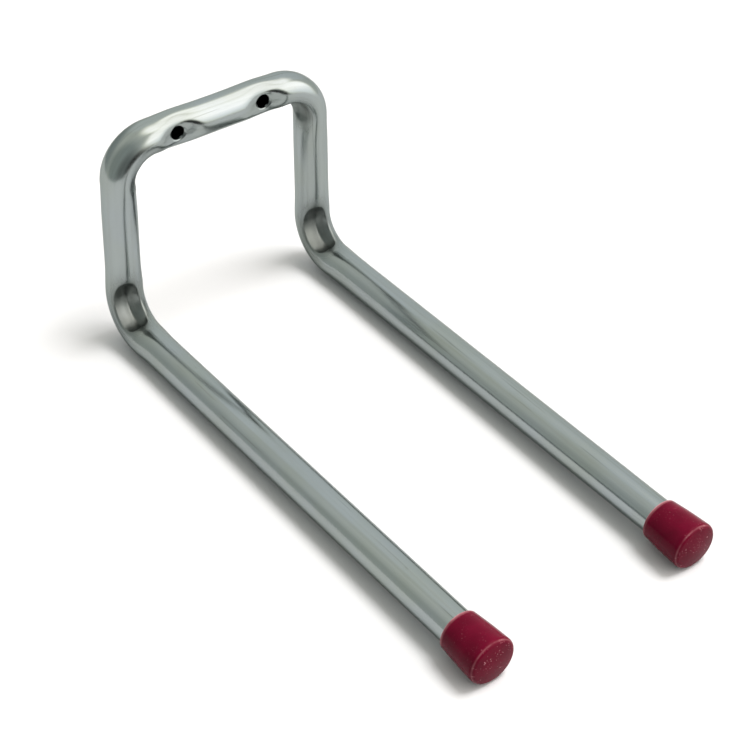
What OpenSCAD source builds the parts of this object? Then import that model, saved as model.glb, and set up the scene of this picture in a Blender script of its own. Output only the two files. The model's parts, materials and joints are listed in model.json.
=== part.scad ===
// Bicycle wall rack: one bent steel tube, screwed to the wall through its crossbar,
// with a soft push-on cap on the end of each arm.
//
// Millimetres, +Z up. The origin is on the wall, midway between the two screw holes.
// The wall is the plane y = 0 and the arms run out from it along -Y.

/* [Tube] */
// Outside diameter of the steel tube
tube_od = 20; // [18:0.5:21]
// Wall thickness of the tube
tube_wall = 1.5; // [1:0.1:2]

/* [Frame] */
// Distance between the two arms, centre to centre
arm_spacing = 131; // [125:1:180]
// Distance from the wall to the cut end of each arm
arm_reach = 337; // [200:1:450]
// Height of the crossbar above the arms, centre to centre
leg_height = 113.5; // [90:0.5:160]
// Centreline radius of the bends at the ends of the crossbar
top_bend_r = 22; // [21:1:24]
// Centreline radius of the bends at the feet of the legs
low_bend_r = 22; // [21:1:26]

/* [Screw holes] */
// Distance between the two screw holes
hole_spacing = 56; // [40:1:56]
// Diameter of each screw hole, through both walls of the tube
hole_d = 8.5; // [6:0.5:9]
// Depth of the dish pressed into the front of the tube round each hole
dish_depth = 4; // [2:0.5:4.5]
// Radius of the ball that presses the dish
dish_r = 14; // [10:1:14]

/* [Bend recesses] */
// Depth of the recess pressed into the inner side of each bend
recess_depth = 3; // [2:0.5:3]
// Radius of the ball that presses the recess of a bend at the crossbar
top_recess_r = 7.5; // [6:0.5:7.5]
// Radius of the ball that presses the recess of a bend at an arm
low_recess_r = 7.5; // [6:0.5:7.5]

/* [End caps] */
// Length of each cap
cap_length = 27.5; // [22:0.5:32]
// Outside diameter of a cap at its mouth
cap_mouth_d = 23.4; // [23:0.2:25]
// Outside diameter of a cap at its closed end
cap_end_d = 26.8; // [25.2:0.2:28.8]
// Thickness of the cap's closed end
cap_floor = 3; // [2:0.5:5]
// Rounding of the edge at the closed end
cap_edge_r = 2.6; // [1:0.1:3]
// Rounding of the mouth's outer edge
cap_lip_r = 0.8; // [0.3:0.1:0.9]
// Crown of the cap's end face
cap_crown = 0.6; // [0.2:0.1:1.5]

/* [Hidden] */
$fn = 72;
zinc = [0.72, 0.76, 0.76];
red = [0.45, 0.02, 0.12];

tube_id = tube_od - 2 * tube_wall;
tube_y = -tube_od / 2;
crossbar_length = arm_spacing - 2 * top_bend_r;
leg_length = leg_height - top_bend_r - low_bend_r;
arm_length = arm_reach - tube_od / 2 - low_bend_r;
hole_places = [-hole_spacing / 2, hole_spacing / 2];
// How far a cutting shape runs past the face it cuts
past = 1;
cap_bore_depth = cap_length - cap_floor;

// The tube is drawn piece by piece along its run. In each piece's own frame the run goes
// along +Y, and each bend is a quarter turn towards -X.

// A straight rod of the given length and diameter.
module straight(length, d) {
    rotate([-90, 0, 0])
        cylinder(d = d, h = length);
}

// A straight piece of tube.
module straight_tube(length) {
    difference() {
        straight(length, tube_od);
        translate([0, -past, 0])
            straight(length + 2 * past, tube_id);
    }
}

// Moves to the end of a bend.
module after_bend(radius) {
    translate([-radius, radius, 0])
        rotate([0, 0, 90])
            children();
}

// A round section of diameter d turned a quarter round the origin.
module quarter_ring(radius, d) {
    rotate_extrude(angle = 90)
        translate([radius, 0])
            circle(d = d);
}

// A bent piece of tube, with a recess pressed into the middle of its inner side by a ball.
// The wall keeps its thickness where the ball presses it in.
module bent_piece(radius, ball_r) {
    ball_distance = radius - tube_od / 2 + recess_depth - ball_r;
    translate([-radius, 0, 0])
        difference() {
            quarter_ring(radius, tube_od);
            pressing_ball(ball_distance, ball_r);
            difference() {
                quarter_ring(radius, tube_id);
                pressing_ball(ball_distance, ball_r + tube_wall);
            }
        }
}

// A ball on the line that halves a quarter turn.
module pressing_ball(distance, r) {
    rotate([0, 0, 45])
        translate([distance, 0, 0])
            sphere(r = r);
}

// Frames along the right side of the rack, each placed at the start of its piece.
module at_right_top_bend() {
    translate([crossbar_length / 2, tube_y, 0])
        rotate([-90, -90, 0])
            children();
}

module at_right_leg() {
    at_right_top_bend()
        after_bend(top_bend_r)
            rotate([0, -90, 0])
                children();
}

module at_right_low_bend() {
    at_right_leg()
        translate([0, leg_length, 0])
            children();
}

module at_right_arm() {
    at_right_low_bend()
        after_bend(low_bend_r)
            children();
}

// The right side of the tube, from the end of the crossbar to the end of the arm.
module right_side() {
    at_right_top_bend()
        bent_piece(top_bend_r, top_recess_r);
    at_right_leg()
        straight_tube(leg_length);
    at_right_low_bend()
        bent_piece(low_bend_r, low_recess_r);
    at_right_arm()
        straight_tube(arm_length);
}

// The crossbar. A screw hole at each side goes through its front and its back wall, in the
// middle of a dish.
module crossbar() {
    difference() {
        crossbar_rod(tube_od, 0);
        dish_balls(dish_r);
        difference() {
            crossbar_rod(tube_id, past);
            dish_balls(dish_r + tube_wall);
        }
        for (x = hole_places)
            translate([x, past, 0])
                rotate([90, 0, 0])
                    cylinder(d = hole_d, h = tube_od + 2 * past);
    }
}

// A rod along the crossbar, longer by extra at each end.
module crossbar_rod(d, extra) {
    translate([-crossbar_length / 2 - extra, tube_y, 0])
        rotate([0, 0, -90])
            straight(crossbar_length + 2 * extra, d);
}

module dish_balls(r) {
    for (x = hole_places)
        translate([x, dish_depth - tube_od - dish_r, 0])
            sphere(r = r);
}

// The bent steel tube, in one piece.
module bent_tube() {
    color(zinc)
        union() {
            crossbar();
            right_side();
            mirror([1, 0, 0])
                right_side();
        }
}

// Points of a round corner of radius r about (x, y), from one angle to another.
function corner(x, y, r, from, to, steps = 8) =
    [for (i = [0:steps]) let (a = from + (to - from) * i / steps) [x + r * cos(a), y + r * sin(a)]];

// Section of a cap on the right of its axis: the mouth is at height 0, the closed end on top.
module cap_section() {
    shoulder = cap_length - cap_crown;
    polygon(concat(
        [[0, cap_bore_depth], [tube_od / 2, cap_bore_depth], [tube_od / 2, 0]],
        corner(cap_mouth_d / 2 - cap_lip_r, cap_lip_r, cap_lip_r, -90, 0),
        corner(cap_end_d / 2 - cap_edge_r, shoulder - cap_edge_r, cap_edge_r, 0, 82),
        [[cap_end_d / 4, cap_length - cap_crown / 4], [0, cap_length]]
    ));
}

// The cap on the end of the right arm.
module end_cap() {
    color(red)
        at_right_arm()
            translate([0, arm_length - cap_bore_depth, 0])
                rotate([-90, 0, 0])
                    rotate_extrude()
                        cap_section();
}

module left_end_cap() {
    mirror([1, 0, 0])
        end_cap();
}

module right_end_cap() {
    end_cap();
}

bent_tube();
left_end_cap();
right_end_cap();
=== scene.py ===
"""Looks of the bicycle wall rack: one bent, bright zinc plated tube and two red vinyl caps.

Metres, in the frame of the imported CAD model: +Z up, the wall is the plane y = 0 and the
arms run out along -Y. The tube is rebuilt as a fine swept skin with the marks of its
making: the recesses pressed into its bends, the dishes round its screw holes and the
punched edges of those holes.
"""

import json
import math

import bpy
import numpy as np
from mathutils import Matrix, Vector


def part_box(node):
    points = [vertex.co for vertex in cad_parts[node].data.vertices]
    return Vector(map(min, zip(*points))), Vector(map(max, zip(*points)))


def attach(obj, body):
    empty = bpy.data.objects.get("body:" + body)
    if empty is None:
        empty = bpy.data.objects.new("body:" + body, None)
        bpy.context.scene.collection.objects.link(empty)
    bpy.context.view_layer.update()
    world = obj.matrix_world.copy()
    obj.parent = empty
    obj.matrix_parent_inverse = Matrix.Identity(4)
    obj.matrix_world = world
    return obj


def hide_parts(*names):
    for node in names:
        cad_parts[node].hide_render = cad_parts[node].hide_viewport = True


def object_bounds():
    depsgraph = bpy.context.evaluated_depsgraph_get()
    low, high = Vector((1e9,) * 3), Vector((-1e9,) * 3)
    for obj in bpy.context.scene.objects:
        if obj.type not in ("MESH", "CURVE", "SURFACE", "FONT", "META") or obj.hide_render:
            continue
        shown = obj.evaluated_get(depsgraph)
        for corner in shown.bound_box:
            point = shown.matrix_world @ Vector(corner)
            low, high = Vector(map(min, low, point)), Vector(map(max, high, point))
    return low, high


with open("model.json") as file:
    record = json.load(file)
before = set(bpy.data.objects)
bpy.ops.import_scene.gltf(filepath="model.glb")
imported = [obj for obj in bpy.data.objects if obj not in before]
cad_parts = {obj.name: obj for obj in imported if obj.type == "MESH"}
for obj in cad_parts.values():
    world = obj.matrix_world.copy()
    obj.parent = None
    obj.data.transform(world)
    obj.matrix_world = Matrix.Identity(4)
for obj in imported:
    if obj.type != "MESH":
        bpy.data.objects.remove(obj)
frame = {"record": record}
cad_low, cad_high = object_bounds()

# One millimetre, in metres
MM = 0.001

# ---------------------------------------------------------------- dimensions

tube_low, tube_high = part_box("bent_tube")
TUBE_R = tube_high.z
TUBE_WALL = 1.5 * MM
# Places of the arms' centrelines and of the tube's ends, and the radii of the bends
ARM_X = tube_high.x - TUBE_R
ARM_Z = tube_low.z + TUBE_R
TUBE_END_Y = tube_low.y
TOP_BEND_R = 22 * MM
LOW_BEND_R = 22 * MM
# How far the legs lean outward on their way down
LEAN = 1.9 * MM
QUARTER = math.pi / 2

screws = next(m for m in frame["record"]["mounts"] if m["name"] == "wall_screws")
HOLE_X = screws["dims"]["spacing_x_mm"] / 2 * MM
HOLE_R = screws["dims"]["hole_r_mm"] * MM

# Directions, with the legs' lean
LEAN_ANGLE = math.atan2(LEAN, -ARM_Z)
TOP_TURN = QUARTER - LEAN_ANGLE
LEG_WAY = np.array([math.sin(LEAN_ANGLE), 0, -math.cos(LEAN_ANGLE)])
FRONT = np.array([0.0, -1.0, 0.0])

# Distances along the centreline, from the middle of the crossbar to an arm's end
S_TOP_BEND = ARM_X - LEAN - TOP_BEND_R * math.tan(TOP_TURN / 2)
S_LEG = S_TOP_BEND + TOP_BEND_R * TOP_TURN
LEG = -ARM_Z / math.cos(LEAN_ANGLE) - TOP_BEND_R * math.tan(TOP_TURN / 2) - LOW_BEND_R
S_LOW_BEND = S_LEG + LEG
S_ARM = S_LOW_BEND + LOW_BEND_R * QUARTER
S_END = S_ARM - TUBE_END_Y - TUBE_R - LOW_BEND_R
MID_TOP = (S_TOP_BEND + S_LEG) / 2
MID_LOW = (S_LOW_BEND + S_ARM) / 2

# The dish round each screw hole, and how soft its rim is
DISH_DEPTH = 4.0 * MM
DISH_R = 11 * MM
DISH_SOFTNESS = 2.4 * MM

# How far bending flattens the tube, and how far past the bend that fades out
OVAL = 1.0 * MM
BEND_FADE = 11 * MM

# The recesses pressed into the inner side of the bends. A top one is turned a little to the
# front, and a low one a little to the left on both sides. Both low ones lie nearer the leg.
RECESS_TURN = math.radians(21)
TOP_RECESS = {
    "middle": MID_TOP,
    "depth": 3.4 * MM,
    "half_length": 19 * MM,
    "half_turn": math.radians(40),
}
LOW_RECESS = {
    "middle": MID_LOW - 4.4 * MM,
    "depth": 5.4 * MM,
    "half_length": 21.5 * MM,
    "half_turn": math.radians(47),
}

# The metal bulges slightly just past the rim of a recess, as a share of its depth. The reach
# is 0 in the middle of the recess and 1 at its rim.
BULGE = 0.05
BULGE_REACH = 1.14
BULGE_WIDTH = 0.13

# How far the punched edge of a screw hole is rolled in, and over what width
HOLE_ROLL = 0.35 * MM
HOLE_ROLL_WIDTH = 0.5 * MM

# Vertices round the tube, and the block of even grid cells that each screw hole is set into:
# the length of a cell, and the number of cells on each side of the hole's middle
AROUND = 120
PATCH_STEP = 1.0 * MM
PATCH_ALONG = 9
PATCH_AROUND = 15
HOLE_RINGS = 12

# The caps: the wall at the mouth, the roundings of the mouth and the closed end, the crown of
# the end face, and the vertices round a cap
CAP_MOUTH_WALL = 1.7 * MM
CAP_LIP = 0.8 * MM
CAP_EDGE = 2.6 * MM
CAP_CROWN = 1.0 * MM
CAP_AROUND = 96

# Where a cap gets a painted pale highlight: at its mouth, and in a fainter, narrower line round its end
LIP_HIGHLIGHT_WIDTH = 0.8 * MM
EDGE_HIGHLIGHT_WIDTH = 0.4 * MM
EDGE_HIGHLIGHT_SHARE = 0.25
EDGE_HIGHLIGHT_INWARD = 0.6 * MM
EDGE_HIGHLIGHT_BACK = 2.1 * MM


# ---------------------------------------------------------------- the tube's run

def run_at(s):
    """Centre, and the two unit vectors across the run, at the distances s along it.

    The first vector points to the front on the crossbar and the legs and up on the arms,
    which is the inner side of the low bends. The second points up on the crossbar and
    outward on the legs and the arms. Negative distances are on the left side.
    """
    d = np.abs(s)[..., None]
    top = np.clip((d - S_TOP_BEND) / TOP_BEND_R, 0, TOP_TURN)
    low = np.clip((d - S_LOW_BEND) / LOW_BEND_R, 0, QUARTER)
    along, up = np.array([1.0, 0, 0]), np.array([0, 0, 1.0])
    centre = FRONT * TUBE_R + np.minimum(d, S_TOP_BEND) * along
    centre = centre + TOP_BEND_R * (np.sin(top) * along - (1 - np.cos(top)) * up)
    centre = centre + np.clip(d - S_LEG, 0, LEG) * LEG_WAY
    centre = centre + LOW_BEND_R * (np.sin(low) * LEG_WAY + (1 - np.cos(low)) * FRONT)
    centre = centre + np.clip(d - S_ARM, 0, None) * FRONT
    first = np.cos(low) * FRONT - np.sin(low) * LEG_WAY
    second = np.sin(top) * along + np.cos(top) * up
    side = np.stack([np.where(s < 0, -1.0, 1.0), np.ones_like(s), np.ones_like(s)], -1)
    return centre * side, first * side, second * side


def turn_difference(a, b):
    """Angle from b to a, from minus half a turn to half a turn."""
    return (a - b + math.pi) % (2 * math.pi) - math.pi


def smooth_step(x, low, high):
    """0 below low, 1 above high, and a smooth rise between."""
    t = np.clip((x - low) / (high - low), 0, 1)
    return t * t * (3 - 2 * t)


def bend_weight(d, start, end):
    """1 within a bend, fading out past its ends."""
    past = np.clip(np.maximum(start - d, d - end), 0, None)
    return np.exp(-(past / BEND_FADE) ** 2)


def recess(s, angle, mark, toward):
    """Depth of the recess that points toward an angle, and how near a point is to it, 0 to 1."""
    u = np.abs(np.abs(s) - mark["middle"]) / mark["half_length"]
    v = np.abs(turn_difference(angle, toward)) / mark["half_turn"]
    reach = (u ** 3 + v ** 2.5) ** 0.4
    bowl = np.clip(1 - reach ** 2, 0, None) ** 0.75
    bulge = BULGE * np.exp(-((reach - BULGE_REACH) / BULGE_WIDTH) ** 2)
    nearness = np.exp(-np.clip(reach - 0.75, 0, None) ** 2 * 3)
    return mark["depth"] * (bowl - bulge), nearness


def radius_at(s, angle):
    """Radius of the pressed skin about the centreline, and how much it was worked, 0 to 1, which also sets
    the zinc's roughness and its painted shade.
    """
    d = np.abs(s)
    side = np.where(s < 0, -1.0, 1.0)
    top, low = bend_weight(d, S_TOP_BEND, S_LEG), bend_weight(d, S_LOW_BEND, S_ARM)
    across = np.cos(2 * angle)
    oval_top = np.where(np.cos(angle) < 0, np.minimum(across, 0), across)
    r = TUBE_R + OVAL * (top * oval_top - low * across) + waviness(s, angle)
    top_depth, top_recess_nearness = recess(s, angle, TOP_RECESS, -QUARTER + RECESS_TURN)
    low_depth, low_recess_nearness = recess(s, angle, LOW_RECESS, -side * RECESS_TURN)
    r = r - top_depth - low_depth

    # A punch presses the front in round each screw hole and spreads the tube above and below
    u, z, front = d - HOLE_X, r * np.sin(angle), r * np.cos(angle)
    punch = TUBE_R - DISH_DEPTH + (u ** 2 + z ** 2) / (2 * DISH_R)
    pressed = -DISH_SOFTNESS * np.logaddexp(-front / DISH_SOFTNESS, -punch / DISH_SOFTNESS)
    weight = smooth_step(np.cos(angle), 0.2, 0.5)
    r = r + weight * (pressed / np.maximum(np.cos(angle), 0.2) - r)
    spread = 0.6 * MM * np.exp(-(u / (13 * MM)) ** 2) * np.sin(angle) ** 2
    r = r + spread
    # How near the front dish a point is: it sets roughness and painted shade round the hole
    dish_nearness = 0.35 * np.exp(-(u / (10 * MM)) ** 2 - (z / (7 * MM)) ** 2) * (front > 0)
    return r, np.maximum(np.maximum(top_recess_nearness, low_recess_nearness), dish_nearness)


def waviness(s, angle):
    """The unevenness that bending leaves: under 0.1 mm, and strongest near the bends."""
    d = np.abs(s)
    near_bends = sum(np.exp(-((d - middle) / (34 * MM)) ** 2) for middle in (MID_TOP, MID_LOW))
    slow_length, fine_length = 61 * MM, 17 * MM
    slow = np.sin(d * 2 * math.pi / slow_length + 2 * np.sin(angle)) * np.sin(angle * 2 + s * 31)
    fine = np.sin(d * 2 * math.pi / fine_length + 3 * angle) * np.cos(angle * 3 + 1.3)
    return (0.015 + 0.05 * near_bends) * MM * slow + 0.010 * MM * near_bends * fine


def skin(s, angle):
    """Points of the outer skin, their place if the tube were straight, and how worked they are, which also
    sets their painted shade.
    """
    s, angle = np.broadcast_arrays(np.asarray(s, float), np.asarray(angle, float))
    centre, first, second = run_at(s)
    r, worked_and_shaded = radius_at(s, angle)
    points = centre + r[..., None] * (np.cos(angle)[..., None] * first + np.sin(angle)[..., None] * second)
    straight = np.stack([TUBE_R * np.cos(angle), TUBE_R * np.sin(angle), s], -1)
    return points, straight, worked_and_shaded


# ---------------------------------------------------------------- the tube's mesh

def stations():
    """Places of the rings along the run: close together where the shape changes."""
    patch = np.arange(-PATCH_ALONG, PATCH_ALONG + 1) * PATCH_STEP + HOLE_X
    top_bend = (S_LEG + 14 * MM, 70)
    leg = (S_LOW_BEND - 14 * MM, 20)
    low_bend = (S_ARM + 16 * MM, 90)
    arm = (S_END, 56)
    parts = [np.linspace(0, patch[0], 15)[:-1], patch]
    start = patch[-1]
    for end, count in (top_bend, leg, low_bend, arm):
        parts.append(np.linspace(start, end, count)[1:])
        start = end
    right = np.concatenate(parts)
    return np.concatenate([-right[:0:-1], right])


def rim_angle(s, z, front):
    """The angle round the tube at which the pressed skin is at height z."""
    base = 0.0 if front else math.pi
    sign = 1.0 if front else -1.0
    angle = base + sign * np.arcsin(z / TUBE_R)
    for _ in range(12):
        r, _worked_and_shaded = radius_at(s, angle)
        angle = base + sign * np.arcsin(np.clip(z / r, -1, 1))
    return angle


class Skin:
    """The vertices and faces of the tube's outer skin, with its screw holes open."""

    def __init__(self):
        self.s = stations()
        self.angles = np.arange(AROUND) * 2 * math.pi / AROUND
        points, straight, worked_and_shaded = skin(self.s[:, None], self.angles[None, :])
        self.points = list(points.reshape(-1, 3))
        self.straight = list(straight.reshape(-1, 3))
        self.worked_and_shaded = list(worked_and_shaded.reshape(-1))
        self.faces = []
        windows = [self.window(side * HOLE_X, front) for side in (-1, 1) for front in (True, False)]
        closed = set().union(*(w["cells"] for w in windows))
        for i in range(len(self.s) - 1):
            for j in range(AROUND):
                if (i, j) not in closed:
                    k = (j + 1) % AROUND
                    self.faces.append([self.at(i, j), self.at(i + 1, j), self.at(i + 1, k), self.at(i, k)])
        for w in windows:
            self.fill_round_hole(w)

    def at(self, i, j):
        """Number of the grid vertex on ring i, at place j round the tube."""
        return i * AROUND + j % AROUND

    def window(self, x, front):
        """The block of grid cells that a screw hole is set into."""
        i0 = int(np.argmin(np.abs(self.s - (x - PATCH_ALONG * PATCH_STEP))))
        i1 = i0 + 2 * PATCH_ALONG
        middle = 0 if front else AROUND // 2
        j0, j1 = middle - PATCH_AROUND, middle + PATCH_AROUND
        cells = {(i, j % AROUND) for i in range(i0, i1) for j in range(j0, j1)}
        return {"x": x, "front": front, "i": (i0, i1), "j": (j0, j1), "cells": cells}

    def border(self, w):
        """The grid vertices round a window, in order, as (ring, place round the tube)."""
        (i0, i1), (j0, j1) = w["i"], w["j"]
        return ([(i, j0) for i in range(i0, i1)] + [(i1, j) for j in range(j0, j1)]
                + [(i, j1) for i in range(i1, i0, -1)] + [(i0, j) for j in range(j1, j0, -1)])

    def fill_round_hole(self, w):
        """Rings of quads from the window's border to the round edge of the hole."""
        places = self.border(w)
        step = 2 * math.pi / AROUND
        s_out = np.array([self.s[i] for i, j in places])
        a_out = np.array([j * step for i, j in places])
        a_mid = 0.0 if w["front"] else math.pi
        z_way = 1.0 if w["front"] else -1.0
        heading = np.arctan2(z_way * TUBE_R * (a_out - a_mid), s_out - w["x"])
        s_rim = w["x"] + HOLE_R * np.cos(heading)
        a_rim = rim_angle(s_rim, HOLE_R * np.sin(heading), w["front"])
        ring = [self.at(i, j) for i, j in places]
        for k in range(1, HOLE_RINGS + 1):
            t = 1 - (1 - k / HOLE_RINGS) ** 1.5
            s = s_out + (s_rim - s_out) * t
            a = a_out + (a_rim - a_out) * t
            points, straight, worked_and_shaded = skin(s, a)
            from_edge = np.clip(np.hypot(s - w["x"], points[:, 2]) - HOLE_R, 0, None)
            rolled_in = HOLE_ROLL * np.exp(-(from_edge / HOLE_ROLL_WIDTH) ** 2)
            points[:, 1] += rolled_in if w["front"] else -rolled_in
            start = len(self.points)
            self.points.extend(points)
            self.straight.extend(straight)
            self.worked_and_shaded.extend(worked_and_shaded)
            new = list(range(start, start + len(ring)))
            for n in range(len(ring)):
                m = (n + 1) % len(ring)
                self.faces.append([ring[n], ring[m], new[m], new[n]])
            ring = new


def tidy_mesh(name, points, faces):
    """A mesh without the vertices that no face uses, and the numbers of those it keeps."""
    used = sorted({v for f in faces for v in f})
    place = {v: n for n, v in enumerate(used)}
    mesh = bpy.data.meshes.new(name)
    mesh.from_pydata([tuple(points[v]) for v in used], [], [[place[v] for v in f] for f in faces])
    mesh.validate()
    return mesh, used


def shown(name, mesh):
    """A new object in the scene with the given mesh."""
    piece = bpy.data.objects.new(name, mesh)
    bpy.context.scene.collection.objects.link(piece)
    return piece


def make_tube():
    """The bent tube: the outer skin, given its wall inward."""
    outer = Skin()
    mesh, used = tidy_mesh("tube_skin", outer.points, outer.faces)
    straight = mesh.attributes.new("straight", "FLOAT_VECTOR", "POINT")
    straight.data.foreach_set("vector", np.array(outer.straight)[used].ravel())
    # The press mask, which sets the zinc's roughness and its painted shade
    worked_and_shaded = mesh.attributes.new("worked_and_shaded", "FLOAT", "POINT")
    worked_and_shaded.data.foreach_set("value", np.array(outer.worked_and_shaded)[used])
    piece = shown("zinc_tube", mesh)
    wall = piece.modifiers.new("wall", "SOLIDIFY")
    wall.thickness = TUBE_WALL
    wall.offset = -1
    wall.use_even_offset = False
    graph = bpy.context.evaluated_depsgraph_get()
    piece.data = bpy.data.meshes.new_from_object(piece.evaluated_get(graph))
    piece.modifiers.clear()
    piece.data.shade_smooth()
    piece.data.set_sharp_from_angle(angle=math.radians(50))
    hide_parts("bent_tube")
    return piece


# ---------------------------------------------------------------- the caps

def cap_profile(mouth_r, end_r, length):
    """Radius and height of the cap's outline, from inside its mouth to the middle of its end.

    The bore is drawn to half the cap's length only. Its floor, and the tube's end past it, are
    out of sight.
    """
    outline = [(TUBE_R, length * 0.5), (TUBE_R, 0.6 * MM), (TUBE_R + 0.15 * MM, 0.15 * MM)]
    for t in np.linspace(-QUARTER, 0, 9):
        outline.append((mouth_r - CAP_LIP + CAP_LIP * math.cos(t), CAP_LIP + CAP_LIP * math.sin(t)))
    shoulder = length - CAP_CROWN
    side_length = shoulder - CAP_EDGE - CAP_LIP
    for t in np.linspace(0.06, 0.94, 15):
        flare = t + 0.10 * math.sin(math.pi * t)
        outline.append((mouth_r + (end_r - mouth_r) * flare, CAP_LIP + side_length * t))
    for t in np.linspace(0, QUARTER * 0.93, 12):
        outline.append((end_r - CAP_EDGE + CAP_EDGE * math.cos(t),
                        shoulder - CAP_EDGE + CAP_EDGE * math.sin(t)))
    r_face, h_face = outline[-1]
    for t in np.linspace(0, 1, 12)[1:]:
        outline.append((r_face * (1 - t), h_face + (length - h_face) * (1 - (1 - t) ** 2)))
    return outline


def painted_highlight_at(r, h, end_r, length):
    """How strong the painted highlight on a cap is at radius r and height h above its mouth."""
    from_line = math.hypot(r - end_r + EDGE_HIGHLIGHT_INWARD, h - length + EDGE_HIGHLIGHT_BACK)
    at_edge = EDGE_HIGHLIGHT_SHARE * math.exp(-(from_line / EDGE_HIGHLIGHT_WIDTH) ** 2)
    return math.exp(-(h / LIP_HIGHLIGHT_WIDTH) ** 2) + at_edge


def make_cap(node, name, phase):
    """A cap in the place of a CAD node. The phase makes its slight unevenness its own."""
    low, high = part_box(node)
    centre_x, centre_z = (low.x + high.x) / 2, (low.z + high.z) / 2
    end_r = (high.x - low.x) / 2
    mouth_r = TUBE_R + CAP_MOUTH_WALL
    length = high.y - low.y
    points, faces, rows, painted_highlight = [], [], [], []
    for r, h in cap_profile(mouth_r, end_r, length):
        if r < 1e-6:
            rows.append([len(points)])
            points.append((centre_x, high.y - h, centre_z))
            painted_highlight.append(0.0)
            continue
        row = []
        for j in range(CAP_AROUND):
            a = 2 * math.pi * j / CAP_AROUND
            uneven = 0.05 * MM * math.sin(2 * a + phase) + 0.03 * MM * math.sin(5 * a + 7 * phase + 90 * h)
            reach = r + (uneven if r > TUBE_R + 0.2 * MM else 0)
            row.append(len(points))
            points.append((centre_x + reach * math.cos(a), high.y - h, centre_z + reach * math.sin(a)))
            painted_highlight.append(painted_highlight_at(r, h, end_r, length))
        rows.append(row)
    for below, above in zip(rows, rows[1:]):
        for j in range(CAP_AROUND):
            k = (j + 1) % CAP_AROUND
            if len(above) == 1:
                faces.append([below[j], below[k], above[0]])
            else:
                faces.append([below[j], below[k], above[k], above[j]])
    bore_floor = list(reversed(rows[0]))
    faces.append(bore_floor)
    mesh, used = tidy_mesh(name, points, faces)
    # Strength of the painted highlight at each vertex
    highlight_layer = mesh.attributes.new("painted_highlight", "FLOAT", "POINT")
    highlight_layer.data.foreach_set("value", np.array(painted_highlight)[used])
    mesh.shade_smooth()
    mesh.set_sharp_from_angle(angle=math.radians(60))
    piece = shown(name, mesh)
    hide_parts(node)
    return piece


# ---------------------------------------------------------------- materials

class Nodes:
    """Short calls for building a node tree."""

    def __init__(self, tree):
        self.tree = tree
        tree.nodes.clear()

    def add(self, kind, settings=None, **inputs):
        node = self.tree.nodes.new(kind)
        for key, value in (settings or {}).items():
            setattr(node, key, value)
        for key, value in inputs.items():
            self.put(node, key.replace("_", " "), value)
        return node

    def put(self, node, key, value):
        """Links a socket to an input, or sets the input's value."""
        socket = node.inputs[int(key)] if key.isdigit() else node.inputs[key]
        if isinstance(value, bpy.types.NodeSocket):
            self.tree.links.new(value, socket)
        else:
            socket.default_value = value

    def scaled(self, vector, scale):
        """The vector times a scale for each of its axes."""
        node = self.add("ShaderNodeVectorMath", {"operation": "MULTIPLY"})
        self.put(node, "0", vector)
        self.put(node, "1", scale)
        return node.outputs[0]

    def maths(self, operation, a, b=None, clamp=False):
        node = self.add("ShaderNodeMath", {"operation": operation, "use_clamp": clamp})
        self.put(node, "0", a)
        if b is not None:
            self.put(node, "1", b)
        return node.outputs[0]

    def noise(self, vector, scale, detail=2.0, roughness=0.5):
        node = self.add("ShaderNodeTexNoise", Vector=vector, Scale=scale, Detail=detail, Roughness=roughness)
        return node.outputs["Fac"]

    def span(self, value, low, high, to_low=0.0, to_high=1.0):
        """The value moved from the range low to high into another range, and kept inside it."""
        node = self.add("ShaderNodeMapRange", {"clamp": True})
        self.put(node, "0", value)
        for n, v in enumerate((low, high, to_low, to_high)):
            self.put(node, str(n + 1), v)
        return node.outputs[0]

    def mix(self, factor, a, b):
        node = self.add("ShaderNodeMix", {"data_type": "RGBA"})
        self.put(node, "0", factor)
        self.put(node, "6", a)
        self.put(node, "7", b)
        return node.outputs[2]


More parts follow.
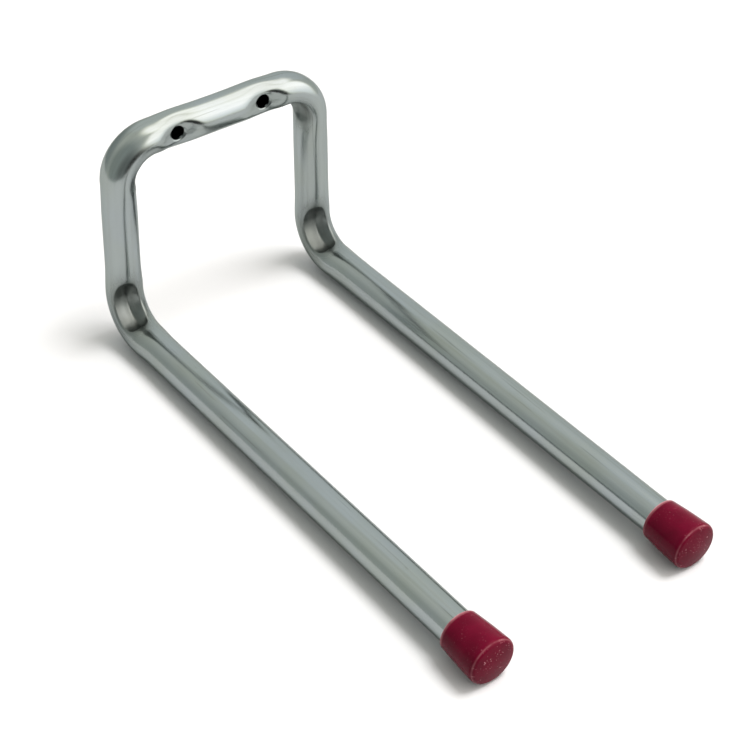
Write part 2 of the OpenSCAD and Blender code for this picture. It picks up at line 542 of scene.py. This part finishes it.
def zinc_material():
    """Bright zinc plating on drawn steel tube, rougher where it was pressed, and darkened there with painted
    shade in the recesses and dishes.
    """
    material = bpy.data.materials.new("bright_zinc")
    material.use_nodes = True
    n = Nodes(material.node_tree)
    straight = n.add("ShaderNodeAttribute", {"attribute_name": "straight"}).outputs["Vector"]
    worked_and_shaded = n.add("ShaderNodeAttribute", {"attribute_name": "worked_and_shaded"}).outputs["Fac"]

    # Drawn lines and scratches run along the tube, and clouds of the plating drift over it
    lines = n.noise(n.scaled(straight, (1400, 1400, 9)), 1.0, 3.0, 0.6)
    broad_lines = n.noise(n.scaled(straight, (330, 330, 2.5)), 1.0, 3.0, 0.6)
    clouds = n.noise(n.scaled(straight, (60, 60, 22)), 1.0, 3.0, 0.55)
    tint = n.noise(n.scaled(straight, (45, 45, 30)), 1.0, 2.0)
    grain = n.noise(n.scaled(straight, (2600, 2600, 2600)), 1.0, 2.0)
    marks = n.noise(n.scaled(straight, (420, 420, 160)), 1.0, 4.0, 0.7)

    scratches = n.noise(n.scaled(straight, (1000, 1000, 16)), 1.0, 2.0, 0.5)

    cool = (0.298, 0.332, 0.338, 1)
    green = (0.292, 0.325, 0.308, 1)
    cloudy = (0.25, 0.277, 0.272, 1)
    dark_line = (0.215, 0.235, 0.212, 1)
    pale_line = (0.355, 0.392, 0.395, 1)
    # Painted shade, for the pressed recesses and the dishes
    press_shade = (0.105, 0.115, 0.105, 1)
    stained = (0.20, 0.22, 0.20, 1)
    scratched = (0.12, 0.13, 0.115, 1)
    base = n.mix(n.span(tint, 0.35, 0.65), cool, green)
    base = n.mix(n.span(clouds, 0.35, 0.75, 0, 0.35), base, cloudy)
    base = n.mix(n.span(broad_lines, 0.55, 0.75, 0, 0.35), base, dark_line)
    base = n.mix(n.span(broad_lines, 0.42, 0.30, 0, 0.30), base, pale_line)
    # Painted shade: darker zinc in the pressed recesses and round the dishes, mottled by the clouds
    base = n.mix(n.maths("MULTIPLY", worked_and_shaded, n.span(clouds, 0.3, 0.7, 0.6, 0.9)), base, press_shade)
    base = n.mix(n.span(marks, 0.65, 0.75, 0, 0.6), base, stained)
    base = n.mix(n.span(scratches, 0.66, 0.72, 0, 0.55), base, scratched)

    rough = n.maths("ADD", n.span(lines, 0.25, 0.75, 0.0, 0.09), n.span(broad_lines, 0.3, 0.7, 0.0, 0.06))
    rough = n.maths("ADD", rough, n.span(clouds, 0.3, 0.7, 0.09, 0.15))
    rough = n.maths("MULTIPLY", rough, n.span(worked_and_shaded, 0.2, 0.9, 1.0, 2.2))

    height = n.maths("ADD", n.maths("MULTIPLY", lines, 0.5), n.maths("MULTIPLY", grain, 0.15))
    bump = n.add("ShaderNodeBump", Strength=0.12, Distance=0.00002, Height=height)
    soft = n.add("ShaderNodeBump", Strength=0.8, Distance=0.00006, Height=broad_lines, Normal=bump.outputs[0])

    shader = n.add("ShaderNodeBsdfPrincipled", Base_Color=base, Roughness=rough, Normal=soft.outputs[0])
    shader.inputs["Metallic"].default_value = 1.0
    shader.inputs["Specular Tint"].default_value = (0.62, 0.64, 0.63, 1)
    out = n.add("ShaderNodeOutputMaterial")
    n.put(out, "Surface", shader.outputs[0])
    return material


def vinyl_material():
    """Glossy dark red vinyl with fine pores, dust on its end face, and painted pale highlights at its mouth
    and round its end.
    """
    material = bpy.data.materials.new("red_vinyl")
    material.use_nodes = True
    n = Nodes(material.node_tree)
    place = n.add("ShaderNodeTexCoord").outputs["Object"]
    clouds = n.noise(n.scaled(place, (90, 90, 90)), 1.0, 3.0)
    pores = n.noise(n.scaled(place, (1500, 1500, 1500)), 1.0, 3.0, 0.6)
    specks = n.noise(n.scaled(place, (1150, 1150, 1150)), 1.0, 1.0)
    patches = n.noise(n.scaled(place, (130, 130, 130)), 1.0, 2.0)
    fleck_place = n.scaled(place, (560, 560, 560))
    flecks = n.add("ShaderNodeTexVoronoi", {"feature": "F1"}, Vector=fleck_place, Scale=1.0)

    deep_red = (0.072, 0.0004, 0.009, 1)
    red = (0.094, 0.0007, 0.012, 1)
    dust_pink = (0.55, 0.25, 0.28, 1)
    highlight_pink = (0.55, 0.26, 0.28, 1)
    base = n.mix(n.span(clouds, 0.35, 0.65), deep_red, red)
    dust = n.maths("MULTIPLY", n.span(specks, 0.66, 0.72), n.span(patches, 0.50, 0.58))
    fleck = n.maths("MULTIPLY", n.span(flecks.outputs["Distance"], 0.10, 0.05), n.span(clouds, 0.5, 0.6))
    depth = n.add("ShaderNodeSeparateXYZ", Vector=place).outputs["Y"]
    on_face = n.span(depth, cad_low.y + 3.0 * MM, cad_low.y + 1.5 * MM, 0.15, 1.0)
    dusty = n.maths("MULTIPLY", n.maths("MAXIMUM", dust, fleck), on_face)
    base = n.mix(n.maths("MULTIPLY", dusty, 0.6), base, dust_pink)
    # Painted highlights: pale pink lines at the mouth and round the end, broken up in patches
    painted_highlight = n.add("ShaderNodeAttribute", {"attribute_name": "painted_highlight"}).outputs["Fac"]
    patchy_highlight = n.maths("MULTIPLY", painted_highlight, n.span(patches, 0.35, 0.6, 0.2, 0.9))
    base = n.mix(patchy_highlight, base, highlight_pink)
    rough = n.maths("ADD", n.span(pores, 0.3, 0.7, 0.16, 0.26), n.maths("MULTIPLY", dusty, 0.3))
    bump = n.add("ShaderNodeBump", Strength=0.35, Distance=0.00003, Height=pores)
    wavy = n.add("ShaderNodeBump", Strength=0.4, Distance=0.0003, Height=clouds, Normal=bump.outputs[0])

    shader = n.add("ShaderNodeBsdfPrincipled", Base_Color=base, Roughness=rough, Normal=wavy.outputs[0])
    shader.inputs["Specular IOR Level"].default_value = 0.04
    shader.inputs["Coat Weight"].default_value = 0.05
    shader.inputs["Coat Roughness"].default_value = 0.05
    out = n.add("ShaderNodeOutputMaterial")
    n.put(out, "Surface", shader.outputs[0])
    return material


def floor_material():
    """A plain, pale, matt surface."""
    material = bpy.data.materials.new("pale_floor")
    material.use_nodes = True
    n = Nodes(material.node_tree)
    place = n.add("ShaderNodeTexCoord").outputs["Object"]
    rough = n.span(n.noise(n.scaled(place, (300, 300, 300)), 1.0), 0.3, 0.7, 0.85, 0.95)
    pale = (0.550, 0.550, 0.556, 1)
    shader = n.add("ShaderNodeBsdfPrincipled", Base_Color=pale, Roughness=rough)
    out = n.add("ShaderNodeOutputMaterial")
    n.put(out, "Surface", shader.outputs[0])
    return material


# ---------------------------------------------------------------- stage, light and camera

def make_floor():
    """A pale sheet just under the caps in front and the low bends behind.

    The caps are wider than the tube, so the sheet is tilted slightly.
    """
    left, right, near, far = -0.6, 0.9, -0.47, 0.9
    front_y, back_y = cad_low.y, -TUBE_R - LOW_BEND_R
    slope = (tube_low.z - cad_low.z) / (back_y - front_y)
    outline = ((left, near), (right, near), (right, far), (left, far))
    corners = [(x, y, cad_low.z + slope * (y - front_y)) for x, y in outline]
    mesh = bpy.data.meshes.new("floor")
    mesh.from_pydata(corners, [], [[0, 1, 2, 3]])
    floor = shown("floor", mesh)
    gap = 0.1 * MM
    floor.location.z = -gap
    mesh.materials.append(floor_material())


def bearing(azimuth, height):
    """Unit vector of a direction. Azimuth is from the front, positive to the right."""
    a, h = math.radians(azimuth), math.radians(height)
    return Vector((math.sin(a) * math.cos(h), -math.cos(a) * math.cos(h), math.sin(h)))


def make_world():
    """A grey light tent round the rack, which the camera itself sees as a plain white backdrop.

    The tent is dimmer on the left and low behind, and open to a dark room in front. It has one
    large soft box in front on the right and another nearly overhead on the right.
    """
    world = bpy.data.worlds.new("tent")
    bpy.context.scene.world = world
    world.use_nodes = True
    n = Nodes(world.node_tree)
    direction = n.add("ShaderNodeTexCoord").outputs["Generated"]

    def around(azimuth, height, full, faded):
        """1 within `full` degrees of a direction and 0 beyond `faded` degrees."""
        toward = n.add("ShaderNodeVectorMath", {"operation": "DOT_PRODUCT"})
        n.put(toward, "0", direction)
        n.put(toward, "1", bearing(azimuth, height))
        return n.span(toward.outputs["Value"], math.cos(math.radians(faded)), math.cos(math.radians(full)))

    height = n.add("ShaderNodeSeparateXYZ", Vector=direction).outputs["Z"]
    tent = (0.98, 0.99, 0.92, 1)
    bright_back = (1.10, 1.13, 1.12, 1)
    dim_back = (0.50, 0.54, 0.53, 1)
    dim_left = (0.52, 0.56, 0.54, 1)
    dim_front_left = (0.28, 0.30, 0.29, 1)
    dark_room = (0.05, 0.05, 0.05, 1)
    colour = n.mix(around(142, 36, 33, 37), tent, bright_back)
    colour = n.mix(around(-162, 2, 22, 40), colour, dim_back)
    colour = n.mix(around(-70, 15, 42, 64), colour, dim_left)
    colour = n.mix(around(-35, 0, 18, 44), colour, dim_front_left)
    colour = n.mix(around(-2, -7, 12, 25), colour, dark_room)

    box_foot = (2.0, 2.0, 1.98, 1)
    box_top = (3.1, 2.9, 2.82, 1)
    box_edge = (2.2, 2.1, 1.8, 1)
    box = n.mix(n.span(height, -0.05, 0.40), box_foot, box_top)
    inside_edge = n.maths("MAXIMUM", around(45, 24, 31, 38), around(95, 68, 14, 21))
    box = n.mix(inside_edge, box_edge, box)
    in_box = n.maths("MAXIMUM", around(45, 24, 33, 42), around(95, 68, 18, 28))
    lit = n.mix(in_box, colour, box)

    white = (1, 1, 1, 1)
    seen = n.add("ShaderNodeLightPath").outputs["Is Camera Ray"]
    light = n.mix(seen, lit, white)
    background = n.add("ShaderNodeBackground", Color=light, Strength=1.0)
    out = n.add("ShaderNodeOutputWorld")
    n.put(out, "Surface", background.outputs[0])


def make_light():
    """A broad key from high on the right, which firms up the shadows and isn't mirrored."""
    data = bpy.data.lights.new("key", "SUN")
    data.energy = 3.0
    data.angle = math.radians(24)
    key = bpy.data.objects.new("key", data)
    toward_key = Vector((0.36, -0.10, 0.93))
    key.rotation_euler = toward_key.to_track_quat("Z", "Y").to_euler()
    key.visible_glossy = False
    bpy.context.scene.collection.objects.link(key)


def make_camera():
    """The photograph's viewpoint: in front of the wall, to the left and above."""
    viewpoint = (-0.4956, -0.8030, 0.5674)
    yaw, pitch, roll = math.radians(37.57), math.radians(38.92), math.radians(0.96)
    data = bpy.data.cameras.new("camera")
    data.sensor_width = 36
    data.lens = 94.15
    camera = bpy.data.objects.new("camera", data)
    camera.matrix_world = (Matrix.Translation(viewpoint)
                           @ Matrix.Rotation(-yaw, 4, "Z")
                           @ Matrix.Rotation(QUARTER - pitch, 4, "X")
                           @ Matrix.Rotation(roll, 4, "Z"))
    bpy.context.scene.collection.objects.link(camera)
    bpy.context.scene.camera = camera


# ---------------------------------------------------------------- assembly

zinc, vinyl = zinc_material(), vinyl_material()
tube = make_tube()
left_cap = make_cap("left_end_cap", "left_vinyl_cap", 0.4)
right_cap = make_cap("right_end_cap", "right_vinyl_cap", 2.1)
for piece, material, slot in ((tube, zinc, "zinc_plated_steel"), (left_cap, vinyl, "red_vinyl"),
                              (right_cap, vinyl, "red_vinyl")):
    piece.data.materials.clear()
    piece.data.materials.append(material)
    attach(piece, "root")

make_floor()
make_world()
make_light()
make_camera()
bpy.context.scene.view_settings.view_transform = "Standard"
